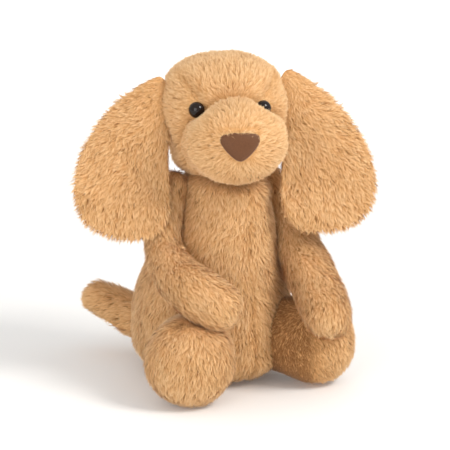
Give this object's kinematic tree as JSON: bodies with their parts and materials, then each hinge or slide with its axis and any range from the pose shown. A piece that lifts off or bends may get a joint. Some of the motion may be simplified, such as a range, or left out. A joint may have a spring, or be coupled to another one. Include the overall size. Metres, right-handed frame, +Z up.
{
  "type": "plush dog",
  "caption": "Seated stuffed plush dog with long hanging ears, domed muzzle, stitched nose patch, glossy eyes, soft jointed limbs and a stub tail.",
  "frame": {"origin": "middle of the flat seat, where the torso rests on the floor", "axes": "+Z up; the torso faces -Y, and the dog's own left is +X"},
  "size_m": [0.1922, 0.2113, 0.23],
  "materials": {
    "pile_fabric": "soft clumped pile",
    "fibre_stuffing": "loose white polyester fibre",
    "pellet_bag_cloth": "plain woven lining cloth",
    "nose_fabric": "short suede nap",
    "eye_plastic": "polished",
    "washer_plastic": "moulded"
  },
  "bodies": {
    "torso": {"torso_cover": "pile_fabric", "torso_stuffing": "fibre_stuffing", "seat_pellet_bag": "pellet_bag_cloth"},
    "head": {"head_cover": "pile_fabric", "muzzle_cover": "pile_fabric", "head_stuffing": "fibre_stuffing", "nose_patch": "nose_fabric", "eye_right": "eye_plastic", "eye_left": "eye_plastic", "eye_washer_right": "washer_plastic", "eye_washer_left": "washer_plastic"},
    "ear_right": {"ear_front_right": "pile_fabric", "ear_back_right": "pile_fabric"},
    "ear_left": {"ear_front_left": "pile_fabric", "ear_back_left": "pile_fabric"},
    "arm_right": {"arm_cover_right": "pile_fabric", "arm_stuffing_right": "fibre_stuffing"},
    "arm_left": {"arm_cover_left": "pile_fabric", "arm_stuffing_left": "fibre_stuffing"},
    "leg_right": {"leg_cover_right": "pile_fabric", "leg_stuffing_right": "fibre_stuffing"},
    "leg_left": {"leg_cover_left": "pile_fabric", "leg_stuffing_left": "fibre_stuffing"},
    "tail": {"tail_cover": "pile_fabric", "tail_stuffing": "fibre_stuffing"}
  },
  "joints": [
    {"name": "head_turn", "type": "hinge", "parent": "torso", "child": "head", "pos_m": [0.004, -0.009, 0.142], "axis": [0, 0, 1], "range_deg": [-6, 20]},
    {"name": "ear_right_lift", "type": "hinge", "parent": "head", "child": "ear_right", "pos_m": [-0.03421, 0.01102, 0.203], "axis": [0.3597, 0.8473, -0.3907], "range_deg": [0, 55]},
    {"name": "ear_left_lift", "type": "hinge", "parent": "head", "child": "ear_left", "pos_m": [0.04369, -0.02042, 0.206], "axis": [-0.3597, -0.8473, 0.3907], "range_deg": [0, 55]},
    {"name": "arm_right_open", "type": "hinge", "parent": "torso", "child": "arm_right", "pos_m": [-0.032, 0.003, 0.1325], "axis": [-0.1392, 0, -0.9903], "range_deg": [0, 25]},
    {"name": "arm_left_open", "type": "hinge", "parent": "torso", "child": "arm_left", "pos_m": [0.039, -0.0015, 0.1325], "axis": [-0.1392, 0, 0.9903], "range_deg": [0, 25]},
    {"name": "leg_right_splay", "type": "hinge", "parent": "torso", "child": "leg_right", "pos_m": [-0.028, -0.022, 0.03], "axis": [0, 0, -1], "range_deg": [0, 18]},
    {"name": "leg_left_splay", "type": "hinge", "parent": "torso", "child": "leg_left", "pos_m": [0.028, -0.022, 0.03], "axis": [0, 0, 1], "range_deg": [0, 18]},
    {"name": "tail_wag", "type": "hinge", "parent": "torso", "child": "tail", "pos_m": [-0.009, 0.052, 0.024], "axis": [0, 0, 1], "range_deg": [-18, 18]}
  ]
}
